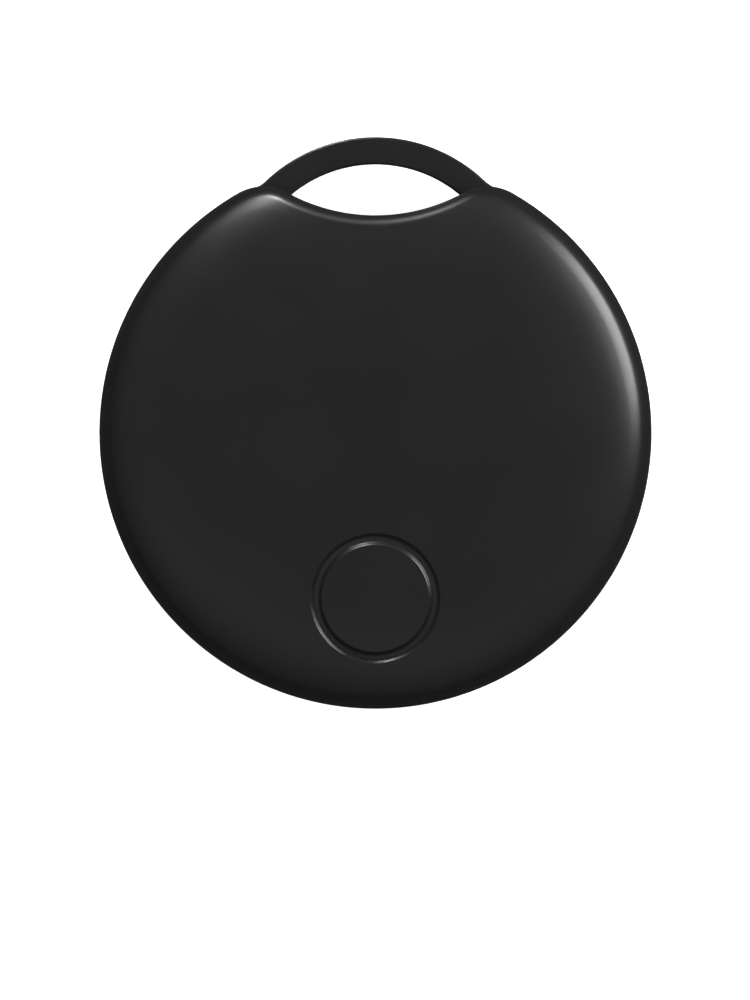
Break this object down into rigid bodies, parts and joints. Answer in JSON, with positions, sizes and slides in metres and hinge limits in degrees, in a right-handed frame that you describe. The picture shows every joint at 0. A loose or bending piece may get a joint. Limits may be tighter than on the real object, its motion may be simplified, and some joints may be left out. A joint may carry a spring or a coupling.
{
  "type": "bluetooth tracker tag",
  "caption": "Round black tracker tag with a domed front, a scalloped key loop at the top, a push button, a coin cell and a sounder.",
  "frame": {"origin": "centre of the flat rear face, on the axis of the round case", "axes": "+Z out of the front face with the button, +Y towards the key loop, +X completes the right hand"},
  "size_m": [0.038, 0.0393, 0.0082],
  "materials": {
    "case_black": "satin moulded",
    "button_black": "satin moulded",
    "silicone_black": "matt silicone",
    "silicone_grey": "matt silicone",
    "foam": "open-cell foam",
    "mesh_grey": "woven acoustic mesh",
    "adhesive": "dried adhesive",
    "brass": "rolled",
    "piezo_ceramic": "silvered ceramic",
    "spring_bronze": "plated phosphor bronze",
    "spring_steel": "rolled",
    "screw_steel": "nickel plated",
    "board_green": "solder mask",
    "chip_black": "moulded epoxy",
    "crystal_can": "plated lid",
    "antenna_ceramic": "fired ceramic",
    "capacitor_tan": "fired ceramic",
    "ferrite": "sintered",
    "gold_pad": "gold flash",
    "switch_plastic": "moulded",
    "plunger_plastic": "moulded",
    "cradle_plastic": "moulded glass-filled",
    "cell_steel": "drawn stainless steel",
    "cell_gasket": "polypropylene",
    "cell_stack": "pressed powder"
  },
  "bodies": {
    "rear_half": {"rear_cover": "case_black", "seal_gasket": "silicone_grey", "acoustic_mesh": "mesh_grey", "buzzer_adhesive": "adhesive", "buzzer_plate": "brass", "buzzer_ceramic": "piezo_ceramic", "buzzer_contacts": "spring_bronze", "circuit_board": "board_green", "pcb_screws": "screw_steel", "bluetooth_chip": "chip_black", "main_crystal": "crystal_can", "clock_crystal": "crystal_can", "motion_sensor": "chip_black", "chip_antenna": "antenna_ceramic", "smd_capacitors": "capacitor_tan", "smd_resistors": "chip_black", "power_inductor": "ferrite", "driver_transistor": "chip_black", "test_pads": "gold_pad", "switch_base": "switch_plastic", "switch_dome": "spring_steel", "switch_frame": "spring_steel", "battery_cradle": "cradle_plastic", "negative_contact": "spring_bronze", "positive_contacts": "spring_steel"},
    "switch_plunger": {"switch_plunger": "plunger_plastic"},
    "battery": {"battery_can": "cell_steel", "battery_gasket": "cell_gasket", "battery_cap": "cell_steel", "battery_stack": "cell_stack"},
    "front_half": {"front_cover": "case_black", "foam_pad": "foam", "button_seal": "silicone_black"},
    "button": {"button_cap": "button_black"}
  },
  "joints": [
    {"name": "cover_lift", "type": "slide", "parent": "rear_half", "child": "front_half", "axis": [0, 0, 1], "range_m": [0, 0.016]},
    {"name": "battery_lift", "type": "slide", "parent": "rear_half", "child": "battery", "axis": [0, 0, 1], "range_m": [0, 0.008]},
    {"name": "button_press", "type": "slide", "parent": "front_half", "child": "button", "axis": [0, 0, -1], "range_m": [0, 0.00025], "stiffness_N_per_m": 4000, "deforming": ["button_seal"]},
    {"name": "switch_press", "type": "slide", "parent": "rear_half", "child": "switch_plunger", "axis": [0, 0, -1], "range_m": [0, 0.00025], "deforming": ["switch_dome"]}
  ],
  "couplings": [
    {"joint": "battery_lift", "follows": "cover_lift", "ratio": 0.5},
    {"joint": "switch_press", "follows": "button_press", "ratio": 1}
  ]
}
